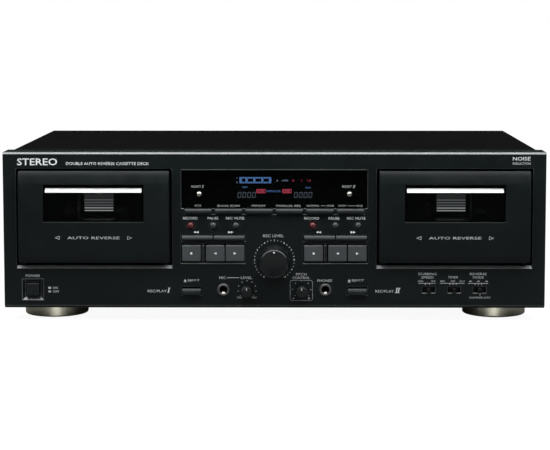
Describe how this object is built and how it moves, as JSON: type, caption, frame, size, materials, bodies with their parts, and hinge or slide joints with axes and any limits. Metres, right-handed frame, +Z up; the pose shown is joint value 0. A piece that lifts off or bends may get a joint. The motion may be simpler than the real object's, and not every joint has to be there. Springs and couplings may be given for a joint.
{
  "type": "double cassette deck",
  "caption": "Full-width hi-fi double auto-reverse cassette deck with hinged well doors, push keys, level knobs, a display window and round feet.",
  "frame": {"origin": "on the surface that the feet stand on, under the middle of the bounding box", "axes": "+X to the right seen from the front, +Y from the front to the back, +Z up"},
  "size_m": [0.435, 0.284, 0.137],
  "materials": {
    "fascia_plastic": "fine satin moulded, blue-black",
    "door_plastic": "satin moulded, blue-black",
    "key_plastic": "satin grey",
    "record_red": "satin dark red",
    "knob_plastic": "satin black",
    "black_plastic": "matt black",
    "smoked_window": "smoked clear acrylic",
    "cover_paint": "fine textured black paint on steel",
    "zinc_steel": "zinc plated",
    "nickel": "nickel plated",
    "foot_metal": "satin champagne",
    "circuit_board": "phenolic board",
    "transformer_core": "varnished laminations",
    "legend_print": "screen-printed ink",
    "display_light": "lit display segments and lamp windows",
    "bright_trim": "polished trim strip",
    "roller_rubber": "ground rubber",
    "black_screw": "black oxide screws",
    "jack_insulator": "coloured insulator rings"
  },
  "bodies": {
    "chassis": {"front_fascia": "fascia_plastic", "display_window": "smoked_window", "chassis_pan": "zinc_steel", "top_cover": "cover_paint", "rear_panel": "cover_paint", "line_jacks": "black_plastic", "mains_inlet": "black_plastic", "power_transformer": "transformer_core", "main_board": "circuit_board", "foot_front_left": "foot_metal", "foot_front_right": "foot_metal", "foot_rear_left": "foot_metal", "foot_rear_right": "foot_metal", "mechanism_frame_1": "black_plastic", "mechanism_frame_2": "black_plastic", "mic_jack": "nickel", "phones_jack": "nickel"},
    "door_1": {"door_panel_1": "door_plastic", "door_window_1": "smoked_window", "cassette_holder_1": "black_plastic"},
    "supply_reel_1": {"supply_reel_hub_1": "black_plastic"},
    "takeup_reel_1": {"takeup_reel_hub_1": "black_plastic"},
    "door_2": {"door_panel_2": "door_plastic", "door_window_2": "smoked_window", "cassette_holder_2": "black_plastic"},
    "supply_reel_2": {"supply_reel_hub_2": "black_plastic"},
    "takeup_reel_2": {"takeup_reel_hub_2": "black_plastic"},
    "power_switch": {"power_button": "knob_plastic"},
    "function_1": {"function_key_1": "key_plastic"},
    "function_2": {"function_key_2": "key_plastic"},
    "function_3": {"function_key_3": "key_plastic"},
    "function_4": {"function_key_4": "key_plastic"},
    "function_5": {"function_key_5": "key_plastic"},
    "function_6": {"function_key_6": "key_plastic"},
    "counter_reset_1": {"counter_reset_key_1": "knob_plastic"},
    "record_1": {"record_key_1": "record_red"},
    "pause_1": {"pause_key_1": "key_plastic"},
    "record_mute_1": {"record_mute_key_1": "key_plastic"},
    "rewind_1": {"rewind_key_1": "key_plastic"},
    "forward_1": {"forward_key_1": "key_plastic"},
    "stop_1": {"stop_key_1": "key_plastic"},
    "reverse_play_1": {"reverse_play_key_1": "key_plastic"},
    "play_1": {"play_key_1": "key_plastic"},
    "eject_1": {"eject_key_1": "key_plastic"},
    "counter_reset_2": {"counter_reset_key_2": "knob_plastic"},
    "record_2": {"record_key_2": "record_red"},
    "pause_2": {"pause_key_2": "key_plastic"},
    "record_mute_2": {"record_mute_key_2": "key_plastic"},
    "rewind_2": {"rewind_key_2": "key_plastic"},
    "forward_2": {"forward_key_2": "key_plastic"},
    "stop_2": {"stop_key_2": "key_plastic"},
    "reverse_play_2": {"reverse_play_key_2": "key_plastic"},
    "play_2": {"play_key_2": "key_plastic"},
    "eject_2": {"eject_key_2": "key_plastic"},
    "record_level": {"record_level_knob": "knob_plastic"},
    "mic_level": {"mic_level_knob": "knob_plastic"},
    "pitch": {"pitch_knob": "knob_plastic"},
    "dubbing_speed": {"dubbing_speed_switch": "black_plastic"},
    "timer": {"timer_switch": "black_plastic"},
    "reverse_mode": {"reverse_mode_switch": "black_plastic"}
  },
  "joints": [
    {"name": "door_1_hinge", "type": "hinge", "parent": "chassis", "child": "door_1", "pos_m": [-0.1445, -0.116, 0.051], "axis": [1, 0, 0], "range_deg": [0, 30]},
    {"name": "supply_reel_1_spin", "type": "hinge", "parent": "chassis", "child": "supply_reel_1", "pos_m": [-0.16575, -0.106, 0.089], "axis": [0, 1, 0], "continuous": true},
    {"name": "takeup_reel_1_spin", "type": "hinge", "parent": "chassis", "child": "takeup_reel_1", "pos_m": [-0.12325, -0.106, 0.089], "axis": [0, 1, 0], "continuous": true},
    {"name": "door_2_hinge", "type": "hinge", "parent": "chassis", "child": "door_2", "pos_m": [0.1445, -0.116, 0.051], "axis": [1, 0, 0], "range_deg": [0, 30]},
    {"name": "supply_reel_2_spin", "type": "hinge", "parent": "chassis", "child": "supply_reel_2", "pos_m": [0.12325, -0.106, 0.089], "axis": [0, 1, 0], "continuous": true},
    {"name": "takeup_reel_2_spin", "type": "hinge", "parent": "chassis", "child": "takeup_reel_2", "pos_m": [0.16575, -0.106, 0.089], "axis": [0, 1, 0], "continuous": true},
    {"name": "power_switch_press", "type": "slide", "parent": "chassis", "child": "power_switch", "axis": [0, 1, 0], "range_m": [0, 0.003], "stiffness_N_per_m": 250, "springref_m": -0.002},
    {"name": "function_1_press", "type": "slide", "parent": "chassis", "child": "function_1", "axis": [0, 1, 0], "range_m": [0, 0.0012], "stiffness_N_per_m": 250, "springref_m": -0.002},
    {"name": "function_2_press", "type": "slide", "parent": "chassis", "child": "function_2", "axis": [0, 1, 0], "range_m": [0, 0.0012], "stiffness_N_per_m": 250, "springref_m": -0.002},
    {"name": "function_3_press", "type": "slide", "parent": "chassis", "child": "function_3", "axis": [0, 1, 0], "range_m": [0, 0.0012], "stiffness_N_per_m": 250, "springref_m": -0.002},
    {"name": "function_4_press", "type": "slide", "parent": "chassis", "child": "function_4", "axis": [0, 1, 0], "range_m": [0, 0.0012], "stiffness_N_per_m": 250, "springref_m": -0.002},
    {"name": "function_5_press", "type": "slide", "parent": "chassis", "child": "function_5", "axis": [0, 1, 0], "range_m": [0, 0.0012], "stiffness_N_per_m": 250, "springref_m": -0.002},
    {"name": "function_6_press", "type": "slide", "parent": "chassis", "child": "function_6", "axis": [0, 1, 0], "range_m": [0, 0.0012], "stiffness_N_per_m": 250, "springref_m": -0.002},
    {"name": "counter_reset_1_press", "type": "slide", "parent": "chassis", "child": "counter_reset_1", "axis": [0, 1, 0], "range_m": [0, 0.001], "stiffness_N_per_m": 250, "springref_m": -0.002},
    {"name": "record_1_press", "type": "slide", "parent": "chassis", "child": "record_1", "axis": [0, 1, 0], "range_m": [0, 0.0012], "stiffness_N_per_m": 250, "springref_m": -0.002},
    {"name": "pause_1_press", "type": "slide", "parent": "chassis", "child": "pause_1", "axis": [0, 1, 0], "range_m": [0, 0.0012], "stiffness_N_per_m": 250, "springref_m": -0.002},
    {"name": "record_mute_1_press", "type": "slide", "parent": "chassis", "child": "record_mute_1", "axis": [0, 1, 0], "range_m": [0, 0.0012], "stiffness_N_per_m": 250, "springref_m": -0.002},
    {"name": "rewind_1_press", "type": "slide", "parent": "chassis", "child": "rewind_1", "axis": [0, 1, 0], "range_m": [0, 0.0012], "stiffness_N_per_m": 250, "springref_m": -0.002},
    {"name": "forward_1_press", "type": "slide", "parent": "chassis", "child": "forward_1", "axis": [0, 1, 0], "range_m": [0, 0.0012], "stiffness_N_per_m": 250, "springref_m": -0.002},
    {"name": "stop_1_press", "type": "slide", "parent": "chassis", "child": "stop_1", "axis": [0, 1, 0], "range_m": [0, 0.0015], "stiffness_N_per_m": 250, "springref_m": -0.002},
    {"name": "reverse_play_1_press", "type": "slide", "parent": "chassis", "child": "reverse_play_1", "axis": [0, 1, 0], "range_m": [0, 0.0015], "stiffness_N_per_m": 250, "springref_m": -0.002},
    {"name": "play_1_press", "type": "slide", "parent": "chassis", "child": "play_1", "axis": [0, 1, 0], "range_m": [0, 0.0015], "stiffness_N_per_m": 250, "springref_m": -0.002},
    {"name": "eject_1_press", "type": "slide", "parent": "chassis", "child": "eject_1", "axis": [0, 1, 0], "range_m": [0, 0.0024], "stiffness_N_per_m": 250, "springref_m": -0.002},
    {"name": "counter_reset_2_press", "type": "slide", "parent": "chassis", "child": "counter_reset_2", "axis": [0, 1, 0], "range_m": [0, 0.001], "stiffness_N_per_m": 250, "springref_m": -0.002},
    {"name": "record_2_press", "type": "slide", "parent": "chassis", "child": "record_2", "axis": [0, 1, 0], "range_m": [0, 0.0012], "stiffness_N_per_m": 250, "springref_m": -0.002},
    {"name": "pause_2_press", "type": "slide", "parent": "chassis", "child": "pause_2", "axis": [0, 1, 0], "range_m": [0, 0.0012], "stiffness_N_per_m": 250, "springref_m": -0.002},
    {"name": "record_mute_2_press", "type": "slide", "parent": "chassis", "child": "record_mute_2", "axis": [0, 1, 0], "range_m": [0, 0.0012], "stiffness_N_per_m": 250, "springref_m": -0.002},
    {"name": "rewind_2_press", "type": "slide", "parent": "chassis", "child": "rewind_2", "axis": [0, 1, 0], "range_m": [0, 0.0012], "stiffness_N_per_m": 250, "springref_m": -0.002},
    {"name": "forward_2_press", "type": "slide", "parent": "chassis", "child": "forward_2", "axis": [0, 1, 0], "range_m": [0, 0.0012], "stiffness_N_per_m": 250, "springref_m": -0.002},
    {"name": "stop_2_press", "type": "slide", "parent": "chassis", "child": "stop_2", "axis": [0, 1, 0], "range_m": [0, 0.0015], "stiffness_N_per_m": 250, "springref_m": -0.002},
    {"name": "reverse_play_2_press", "type": "slide", "parent": "chassis", "child": "reverse_play_2", "axis": [0, 1, 0], "range_m": [0, 0.0015], "stiffness_N_per_m": 250, "springref_m": -0.002},
    {"name": "play_2_press", "type": "slide", "parent": "chassis", "child": "play_2", "axis": [0, 1, 0], "range_m": [0, 0.0015], "stiffness_N_per_m": 250, "springref_m": -0.002},
    {"name": "eject_2_press", "type": "slide", "parent": "chassis", "child": "eject_2", "axis": [0, 1, 0], "range_m": [0, 0.0024], "stiffness_N_per_m": 250, "springref_m": -0.002},
    {"name": "record_level_turn", "type": "hinge", "parent": "chassis", "child": "record_level", "pos_m": [0, -0.12, 0.05], "axis": [0, 1, 0], "range_deg": [-150, 150]},
    {"name": "mic_level_turn", "type": "hinge", "parent": "chassis", "child": "mic_level", "pos_m": [-0.022, -0.12, 0.026], "axis": [0, 1, 0], "range_deg": [-140, 140]},
    {"name": "pitch_turn", "type": "hinge", "parent": "chassis", "child": "pitch", "pos_m": [0.022, -0.12, 0.026], "axis": [0, 1, 0], "range_deg": [-140, 140]},
    {"name": "dubbing_speed_slide", "type": "slide", "parent": "chassis", "child": "dubbing_speed", "axis": [1, 0, 0], "range_m": [-0.0024, 0.0024]},
    {"name": "timer_slide", "type": "slide", "parent": "chassis", "child": "timer", "axis": [1, 0, 0], "range_m": [-0.0024, 0.0024]},
    {"name": "reverse_mode_slide", "type": "slide", "parent": "chassis", "child": "reverse_mode", "axis": [1, 0, 0], "range_m": [-0.0024, 0.0024]}
  ]
}
